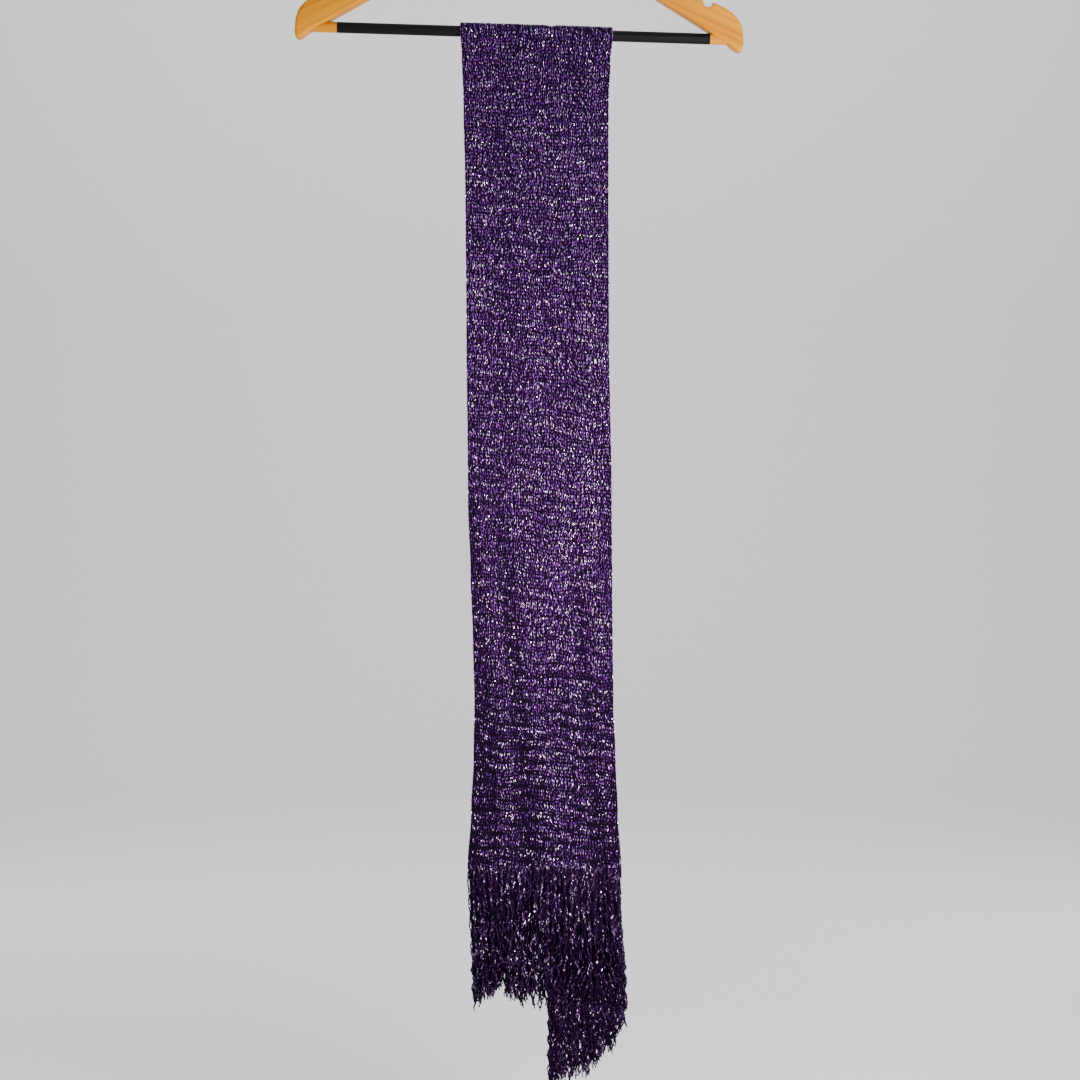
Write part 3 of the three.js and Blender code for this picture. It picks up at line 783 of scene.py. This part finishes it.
def make_stitches():
    """Stitches on all that shows: both falls, over the bar, inside the folded edges and the corner."""
    pitch = bpy.context.scene.shawl_sizes.stitch_pitch / MM
    shown = np.concatenate([even_columns(span, COLUMNS[span]) for span in (RIGHT_FOLD, FACE, LEFT_FOLD)])
    right_edge = even_columns(RIGHT_FLAP, COLUMNS[RIGHT_FLAP])[-EDGE_COLUMNS:]
    left_edge = even_columns(LEFT_FLAP, COLUMNS[LEFT_FLAP])[:EDGE_COLUMNS]
    corner = even_columns(RIGHT_FLAP, CORNER_COLUMNS)
    front = np.arange(QUARTER_TURN, QUARTER_TURN + FRONT_FALL["hem"] + SPARE, pitch)
    back = -np.arange(QUARTER_TURN, QUARTER_TURN + BACK_FALL["hem"] + SPARE, pitch)
    over = np.arange(-QUARTER_TURN, QUARTER_TURN, pitch)[1:]
    clear, low = QUARTER_TURN + CLEAR_OF_BAR, QUARTER_TURN + CORNER_FROM
    low_back = back[back <= -low]
    fields = dict(
        front=(shown, front),
        over_bar=(shown, over),
        back=(shown, back),
        corner=(corner, low_back),
        corner_behind=(corner, low_back),
        front_inside_left=(left_edge, front[front > clear]),
        front_inside_right=(right_edge, front[front > clear]),
        back_inside_left=(left_edge, back[back < -clear]),
        back_inside_right=(right_edge, back[(back < -clear) & (back > -low)]),
    )
    return [
        stitch_field(
            "shawl_stitches_" + name,
            *place,
            seed=FIRST_SEED + i,
            lift=-STITCH_LIFT if name == "corner_behind" else STITCH_LIFT,
        )
        for i, (name, place) in enumerate(fields.items())
    ]


# -------------------- fringe

STRAND_STEPS = 36
PLY_SIDES = 3
PLY_RADIUS = 0.68  # mm
PLY_OFFSET = 0.5  # mm, of each ply from the strand's middle
PLY_TURN = 7.5  # mm of strand for one turn of its plies
PLY_ROLL = 0.6  # turns of a ply about itself for each one about the strand
PLY_END = dict(share=0.55, thin=5)  # of its radius at the tip, growing by a radius in so many mm
ASIDE_FROM = (0.0, 1.0, 0.05)  # no strand runs this way, so its sides are measured from it
KNOT_PITCH = 5.7  # mm, between the tufts of strands knotted at the hem
KNOT_SHARE = 0.05  # of a strand's length, down to its knot
STAGGER = 0.37  # of that pitch, from one row's tufts to the next row's
TUFT = dict(sway=1.1, turn=2.4, loosened=0.5)  # mm, radians and the share lost at the tips
ROOT_RISE = (-0.5, 9.0)  # mm, from the hem up to where the strands are looped through the cloth
ROOT_OUT = 0.7  # mm, the outer row stands on the cloth there
LOCK_PULL = 0.18  # share of the way that a strand's tip is drawn to the middle of its lock
CORNER_PACKING = 0.33  # strands hang closer where the stretched corner draws in
STRAND_SPREAD = dict(tip=1.1, lean=0.7, length=(0.93, 1.03))  # mm, mm, share of the set length
FULL_TURN = 2 * math.pi

# A strand's slow crimp and fine kinks, in mm: their lengths, and their sizes aside and outwards.
CRIMP = dict(root=0.45, more=1.7, lengths=(15, 27), aside=0.7, out=0.6, out_length=0.9)
KINKS = dict(aside=0.3, aside_length=6.5, out=0.4, out_length=7.3)

# Ends that curl up: how many, where along the strand, over how much of it, how far round, how wide
# in mm, and the shares of that by which they shift aside and up.
CURL = dict(chance=0.28, start=(0.70, 0.84), grow=0.16, turn=(14, 22), size=(1.6, 4.2))
CURL_TURNS_FROM = 0.72
CURL_SHIFT = dict(aside=0.3, up=1.2)

# How much sooner than its tip a strand is loose, has swung aside and has leant out in full.
SOONER = dict(loose=1.15, aside=0.9, out=1.5)

# The bare foil of a strand, and what more there is at its knot, on a glint or in a row given painted
# shade.
STRAND_SPARKLE = dict(spread=(0.9, 3.3), base=-0.04, knot=0.11, glint=0.50, dimmed=-0.25)
STRAND_GLINTS = 0.14  # share of a bright row's faces
KNOT_REACH = 0.08  # of a strand

# The rows of fringe at a hem: how far each leans out in mm, how closely it is packed, how much painted
# shade darkens it, most for the rows that hang further in, and how far its strands are drawn into their
# tufts.
FRINGE_ROWS = table(
    "span lean packing dimmed gather",
    (FACE, 3.4, 1, 0.0, 0.62),
    (FACE, 1.4, 1, 0.5, 0.45),
    (LEFT_FLAP, -0.8, 0.7, 1.0, 0.3),
    (RIGHT_FLAP, -1.2, 1, 0.3, 0.42),
    (RIGHT_FLAP, 0.9, 1, 0.3, 0.42),
)

# Where the fringe's locks hang, in mm from the bar's middle: from root x to tip x. A lock is
# `shorter` than the others, or longer where that is negative.
FRONT_LOCKS = table(
    "root tip shorter",
    (-52, -45, 0),
    (-44, -40, 0),
    (-35, -33, 2),
    (-26, -25, 9),
    (-18, -18, 22),
    (-9, -11, 4),
    (3, -3, 4),
    (12, 6, 6),
    (20, 15, 10),
    (30, 29, 4),
    (42, 41, 2),
    (54, 54, 5),
    (66, 67, 3),
    (78, 81, 6),
    (90, 95, 4),
    (101, 109, 2),
)
BACK_LOCKS = table(
    "root tip shorter",
    (-50, -46, 2),
    (-38, -37, 6),
    (-28, -27, 11),
    (-18, -18, 24),
    (-9, -9, 8),
    (-2, -1, 4),
    (10, 11, 6),
    (22, 26, 3),
    (30, 31, 0),
    (42, 42, 2),
    (54, 56, -2),
    (66, 68, -8),
    (77, 80, -13),
    (88, 93, -15),
    (97, 103, -8),
    (105, 110, 4),
)


def lock_at(locks, x):
    """Tip x and shortening of the lock that a root at x falls in, drawn a little to its middle."""
    roots = np.array([lock["root"] for lock in locks], float)
    nearest = locks[int(np.argmin(np.abs(roots - x)))]
    even = np.interp(x, roots, [lock["tip"] for lock in locks])
    return mix(even, nearest["tip"], LOCK_PULL), nearest["shorter"]


def strand_path(root, tip_x, length, lean, row, rng):
    """Middle line of a strand in mm: drawn into a knot, then crimped, and often curled at its end."""
    s = np.linspace(0, 1, STRAND_STEPS)
    phase = rng.uniform(0, FULL_TURN, 6)
    loose = smooth(s * SOONER["loose"])
    crimp = CRIMP["root"] + CRIMP["more"] * loose**2
    wave = rng.uniform(*CRIMP["lengths"])
    tuft = round(root[0] / KNOT_PITCH + STAGGER * row)
    sway = TUFT["sway"] * math.sin(tuft * TUFT["turn"] + row)
    knot_x = (tuft - STAGGER * row) * KNOT_PITCH + sway
    drawn = FRINGE_ROWS[row]["gather"] * smooth(s / KNOT_SHARE) * (1 - TUFT["loosened"] * loose)
    x = mix(root[0], knot_x, drawn) + (tip_x - root[0]) * smooth(s * SOONER["aside"])
    run = s * length * FULL_TURN
    x = x + CRIMP["aside"] * crimp * np.sin(run / wave + phase[0])
    x = x + KINKS["aside"] * np.sin(run / KINKS["aside_length"] + phase[1])
    y = root[1] + lean * smooth(s * SOONER["out"])
    y = y + CRIMP["out"] * crimp * np.cos(run / (wave * CRIMP["out_length"]) + phase[2])
    y = y + KINKS["out"] * np.sin(run / KINKS["out_length"] + phase[3])
    z = root[2] - s * length
    if rng.random() < CURL["chance"]:
        curl = smooth((s - rng.uniform(*CURL["start"])) / CURL["grow"])
        turn = (s - CURL_TURNS_FROM) * rng.uniform(*CURL["turn"]) * rng.choice([-1, 1]) + phase[4]
        curl = curl * rng.uniform(*CURL["size"])
        x = x + curl * (np.sin(turn) - math.sin(phase[4]) * CURL_SHIFT["aside"])
        z = z + curl * (CURL_SHIFT["up"] + np.cos(turn))
    return np.stack([x, y, z], -1)


def ply_tube(path, start_turn, rng, ply, dimmed):
    """One ply wound round the strand's middle line, closed at both ends."""
    tangent = unit(np.gradient(path, axis=0))
    aside = unit(np.cross(tangent, np.tile(ASIDE_FROM, (len(path), 1))))
    up = np.cross(tangent, aside)

    def around(angle):
        return np.cos(angle)[:, None] * aside + np.sin(angle)[:, None] * up

    run = np.concatenate([[0], np.cumsum(np.linalg.norm(np.diff(path, axis=0), axis=1))])
    wind = run * FULL_TURN / PLY_TURN + start_turn + math.pi * ply
    middle = path + PLY_OFFSET * around(wind)
    radius = PLY_RADIUS * np.minimum(1, PLY_END["share"] + (run[-1] - run) / PLY_END["thin"])[:, None]
    corners = [FULL_TURN * k / PLY_SIDES + wind * PLY_ROLL for k in range(PLY_SIDES)]
    points = np.stack([middle + radius * around(angle) for angle in corners], axis=1).reshape(-1, 3)
    steps = len(path) - 1
    ring = (np.arange(steps) * PLY_SIDES)[:, None]
    k = np.arange(PLY_SIDES)[None, :]
    after = (k + 1) % PLY_SIDES
    quads = np.stack([ring + k, ring + after, ring + PLY_SIDES + after, ring + PLY_SIDES + k], -1)
    first, last = list(range(PLY_SIDES)), list(range(steps * PLY_SIDES, len(points)))
    faces = [*quads.reshape(-1, 4).tolist(), first[::-1], last]
    along = np.append(np.repeat(np.arange(steps) / steps, PLY_SIDES), [0, 1])
    # Painted shade on the inner rows: fewer glints and less sparkle.
    glints = rng.random(len(faces)) < STRAND_GLINTS * (1 - dimmed)
    shares = dict(knot=bell(along, KNOT_REACH), glint=glints, dimmed=dimmed)
    sparkle = rng.beta(*STRAND_SPARKLE["spread"], len(faces)) + STRAND_SPARKLE["base"]
    sparkle = sparkle + sum(STRAND_SPARKLE[key] * share for key, share in shares.items())
    return points, faces, np.clip(sparkle, 0, MOST_SPARKLE)


def fringe_columns(fall):
    """The columns that each row of strands hangs from at a hem."""
    pitch = bpy.context.scene.shawl_sizes.fringe_pitch / MM
    foot = outline_at(fall["outline"], fall["hem"])
    left, right = foot["left"] + FOLD_INSET, foot["right"] - FOLD_INSET
    widths = {
        RIGHT_FLAP: right - (foot["slit"] + foot["half"]),
        FACE: right - left,
        LEFT_FLAP: foot["slit"] - foot["half"] - left,
    }
    for row in FRINGE_ROWS:
        stretched = fall["corner_drop"] and row["span"] == RIGHT_FLAP
        packing = CORNER_PACKING if stretched else row["packing"]
        count = max(2, int(widths[row["span"]] / (packing * pitch)))
        yield even_columns(row["span"], count)


def make_fringe(name, node, fall, locks, seed):
    """A hem's fringe as one piece, in place of the frame's node."""
    full_length = bpy.context.scene.shawl_sizes.fringe_length / MM
    rng = np.random.default_rng(seed)
    points, faces, sparkle, base = [], [], [], 0
    for row, columns in enumerate(fringe_columns(fall)):
        v = -fall["side"] * (QUARTER_TURN + fall["hem"]) * np.ones(len(columns))
        lean, dimmed = FRINGE_ROWS[row]["lean"], FRINGE_ROWS[row]["dimmed"]
        stand = fall["side"] * ROOT_OUT if row == 0 else 0
        for root in cloth_point(columns, v):
            tip_x, shorter = lock_at(locks, root[0])
            tip_x += rng.normal(0, STRAND_SPREAD["tip"])
            length = full_length * rng.uniform(*STRAND_SPREAD["length"]) - shorter
            start = root + np.array([0, stand, rng.uniform(*ROOT_RISE)])
            leant = fall["side"] * (lean + rng.normal(0, STRAND_SPREAD["lean"]))
            path = strand_path(start, tip_x, length, leant, row, rng)
            turn = rng.uniform(0, FULL_TURN)
            for ply in range(2):
                tube, sides, bare = ply_tube(path, turn, rng, ply, dimmed)
                faces += [[i + base for i in face] for face in sides]
                points.append(tube)
                sparkle.append(bare)
                base += len(tube)
    # The fringe yarn is darkened to 0.15: partly its own darker tone, partly painted shade for a fringe
    # that hangs below where the key light falls.
    material = yarn_material("Shawl fringe yarn", grain=(1000.0, 2.1), relief_size=1800.0, shade=0.15)
    piece = knit_piece(name, np.concatenate(points), faces, material, np.concatenate(sparkle))
    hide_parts(node)
    return piece


# -------------------- hanger

# The wood's grain: noise for each metre, how much of the fine one, and what the colour runs between.
WOOD_GRAIN = dict(along=6, across=120, fine=0.25, shift=0.12, pale=0.38, dark=0.68)
WOOD_ROUGHNESS = (0.2, 0.28)  # with the grain, and anyway


def wood_grain_group():
    """Fine long grain along both arms of the hanger, mirrored about its middle."""

    def build(nodes, given):
        place = nodes.add("ShaderNodeSeparateXYZ", {0: nodes.place()}).outputs
        aside = nodes.maths("ABSOLUTE", place["X"])
        level = nodes.maths("MULTIPLY_ADD", aside, given["Slope"], place["Z"])
        scales = dict(
            X=nodes.maths("MULTIPLY", aside, WOOD_GRAIN["along"]),
            Y=nodes.maths("MULTIPLY", place["Y"], WOOD_GRAIN["across"]),
            Z=nodes.maths("MULTIPLY", level, WOOD_GRAIN["across"]),
        )
        stretched = nodes.add("ShaderNodeCombineXYZ", scales).outputs[0]
        bands = nodes.noise(stretched, 1.0, Detail=5, Roughness=0.6, Distortion=0.4)
        fine = nodes.noise(stretched, 7.0, Detail=3)
        both = nodes.maths("MULTIPLY_ADD", fine, WOOD_GRAIN["fine"], bands)
        streaks = nodes.maths("SUBTRACT", both, WOOD_GRAIN["shift"])
        share = nodes.share(streaks, WOOD_GRAIN["pale"], WOOD_GRAIN["dark"])
        return dict(
            Colour=nodes.blend(share, given["Wood"], given["Grain"]),
            Roughness=nodes.maths("MULTIPLY_ADD", both, *WOOD_ROUGHNESS),
            Normal=nodes.bump(both, strength=0.12, distance=0.0003),
        )

    inputs = dict(Wood=COLOURS["Wood"], Grain=COLOURS["Grain"], Slope=0.5)
    return shared_group("Wood grain", inputs, build)


def wood_material(name, slope):
    """Oiled wood, with its grain rising by `slope` towards the hanger's middle."""
    colours = bpy.context.scene.hanger_colours
    material, nodes, shader = new_material(name)
    grain = place_group(nodes, wood_grain_group(), Wood=colours.wood, Grain=colours.grain, Slope=slope)
    sockets = {
        "Base Color": grain["Colour"],
        "Roughness": grain["Roughness"],
        "Normal": grain["Normal"],
        "Coat Weight": 0.05,
        "Coat Roughness": 0.18,
        "Specular IOR Level": 0.1,
    }
    nodes.feed(shader, sockets)
    return material


def uneven_material(name, colour, metallic, roughness, scale):
    """A plain finish whose colour and roughness vary a little over the surface."""
    material, nodes, shader = new_material(name)
    cloud = nodes.noise(nodes.place(), scale, Detail=4)
    sockets = {
        "Base Color": nodes.ramp(cloud, [(0.3, colour * 0.82), (0.7, colour)]),
        "Roughness": nodes.maths("MULTIPLY_ADD", cloud, roughness * 0.6, roughness * 0.7),
        "Metallic": metallic,
        "Specular IOR Level": 0.5 if metallic else 0.1,
        "Normal": nodes.bump(cloud, strength=0.1, distance=0.0002),
    }
    nodes.feed(shader, sockets)
    return material


def finish_node(name, material):
    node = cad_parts[name]
    node.data.materials.clear()
    node.data.materials.append(material)


# -------------------- stage

FLOOR_DROP = 0.10  # m below the lowest fringe
SWEEP = dict(half_width=7.0, front=-7.0, back=3.4, radius=1.4, height=5.0, steps=25)
VIEW_MIDDLE = (0.0208, 0, -0.5050)  # m from the bar's middle
LIT_MIDDLE = (0, 0, -0.66)  # m in the frame

# Each light's place and what it faces, in m; its size in m; and its share of the set power.
LIGHTS = (
    ("Key", (0.52, -0.76, -0.70), LIT_MIDDLE, (0.50, 0.50), 0.64, (1.0, 0.95, 0.94)),
    ("Fill", (0.3, -1.8, 0.1), LIT_MIDDLE, (1.0, 1.4), 0.17, (0.74, 0.84, 1.0)),
    ("Top", (0.1, -0.5, 1.0), LIT_MIDDLE, (1.4, 1.0), 0.24, (0.48, 0.62, 1.0)),
    ("Wall", (0, 1.6, 2.4), (0, 4.8, -0.4), (5.0, 0.8), 3.5, (1, 1, 1)),
    ("Rear left", (-1.6, 1.7, 0.1), LIT_MIDDLE, (1.0, 1.4), 0.3, (1, 1, 1)),
    ("Rear right", (1.7, 1.5, 0.1), LIT_MIDDLE, (1.0, 1.4), 0.4, (1, 1, 1)),
)


def make_backdrop(settings):
    """A pale floor that curves up into a wall."""
    low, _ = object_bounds()
    floor, back, radius = low[2] - FLOOR_DROP, SWEEP["back"], SWEEP["radius"]
    bend = [
        (back + radius * math.sin(a), floor + radius * (1 - math.cos(a)))
        for a in np.linspace(0, math.pi / 2, SWEEP["steps"])
    ]
    profile = [(SWEEP["front"], floor), *bend, (back + radius, floor + SWEEP["height"])]
    points = [(x, y, z) for y, z in profile for x in (-SWEEP["half_width"], SWEEP["half_width"])]
    faces = [(2 * i, 2 * i + 1, 2 * i + 3, 2 * i + 2) for i in range(len(profile) - 1)]
    material, nodes, shader = new_material("Stage paper")
    nodes.feed(shader, {"Base Color": settings.backdrop, "Roughness": 0.9})
    mesh_object("stage_sweep", points, faces, material, smooth_shading=True)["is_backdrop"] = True


def make_lights(power):
    """Soft lights, each with its share of the power."""
    for name, place, target, size, share, colour in LIGHTS:
        data = bpy.data.lights.new(name, "AREA")
        data.shape = "RECTANGLE"
        data.size, data.size_y = size
        data.energy = power * share
        data.color = colour
        light = new_object(name, data)
        light.location = place
        light.rotation_euler = (Vector(target) - Vector(place)).to_track_quat("-Z", "Y").to_euler()


def make_camera(settings):
    """A level camera straight in front, aimed at the middle of the view."""
    view_middle = Vector(VIEW_MIDDLE) + BAR_MIDDLE
    data = bpy.data.cameras.new("Camera")
    data.sensor_width = 36
    data.lens = data.sensor_width * settings.view_distance / settings.view_width
    camera = new_object("Camera", data)
    camera.location = view_middle - Vector((0, settings.view_distance + (BAR_GAP + FACE_DEPTH) * MM, 0))
    camera.rotation_euler = (math.pi / 2, 0, 0)
    bpy.context.scene.camera = camera


def make_world():
    world = bpy.data.worlds.new("Studio")
    world.use_nodes = True
    background = world.node_tree.nodes["Background"]
    background.inputs["Color"].default_value = (0.80, 0.82, 0.86, 1)
    background.inputs["Strength"].default_value = 0.45
    bpy.context.scene.world = world


# -------------------- operators, panel and main


class SHAWL_OT_finish_hanger(bpy.types.Operator):
    """Give the hanger's wood, sleeve and hook their finishes"""

    bl_idname = "shawl.finish_hanger"
    bl_label = "Finish Hanger"

    def execute(self, context):
        colours = context.scene.hanger_colours
        sleeve = uneven_material("Hanger sleeve", colours.sleeve, metallic=0, roughness=0.5, scale=300)
        steel = uneven_material("Hanger hook steel", colours.steel, metallic=1, roughness=0.2, scale=150)
        finish_node("hanger_yoke", wood_material("Hanger wood", slope=0.5))
        finish_node("hanger_bar", wood_material("Hanger dowel wood", slope=0.0))
        finish_node("hanger_bar_sleeve", sleeve)
        finish_node("hanger_hook", steel)
        return {"FINISHED"}


class SHAWL_OT_knit_shawl(bpy.types.Operator):
    bl_idname = "shawl.knit_shawl"
    bl_label = "Knit Shawl"

    def execute(self, context):
        cloth = make_cloth(context.scene.shawl_sizes)
        stitches = make_stitches()
        front = make_fringe("shawl_fringe_front", "fringe_front", FRONT_FALL, FRONT_LOCKS, seed=21)
        back = make_fringe("shawl_fringe_back", "fringe_back", BACK_FALL, BACK_LOCKS, seed=22)
        return {"FINISHED"}


class SHAWL_OT_set_stage(bpy.types.Operator):
    """Set up the pale studio, its soft lights and the camera"""

    bl_idname = "shawl.set_stage"
    bl_label = "Set Stage"

    def execute(self, context):
        settings = context.scene.stage_settings
        make_backdrop(settings)
        make_world()
        make_camera(settings)
        make_lights(settings.key_power)
        return {"FINISHED"}


class SHAWL_PT_maker(bpy.types.Panel):
    bl_idname = "SHAWL_PT_maker"
    bl_label = "Hanging Shawl"
    bl_space_type = "VIEW_3D"
    bl_region_type = "UI"
    bl_category = "Shawl"

    def draw(self, context):
        for name in PROPERTIES:
            box = self.layout.box()
            box.label(text=name.replace("_", " ").capitalize())
            group = getattr(context.scene, name)
            for key in group.__annotations__:
                box.prop(group, key)
        for operator in OPERATORS:
            self.layout.operator(operator.bl_idname)


PROPERTIES = dict(
    shawl_sizes=ShawlSizes,
    yarn_colours=YarnColours,
    hanger_colours=HangerColours,
    stage_settings=StageSettings,
)
OPERATORS = (SHAWL_OT_finish_hanger, SHAWL_OT_knit_shawl, SHAWL_OT_set_stage)
CLASSES = (*PROPERTIES.values(), *OPERATORS, SHAWL_PT_maker)


def register():
    for cls in CLASSES:
        bpy.utils.register_class(cls)
    for name, group in PROPERTIES.items():
        setattr(bpy.types.Scene, name, bpy.props.PointerProperty(type=group))


def unregister():
    for name in PROPERTIES:
        delattr(bpy.types.Scene, name)
    for cls in reversed(CLASSES):
        bpy.utils.unregister_class(cls)


def main():
    register()
    bpy.ops.shawl.finish_hanger()
    bpy.ops.shawl.knit_shawl()
    bpy.ops.shawl.set_stage()


if __name__ == "__main__":
    main()
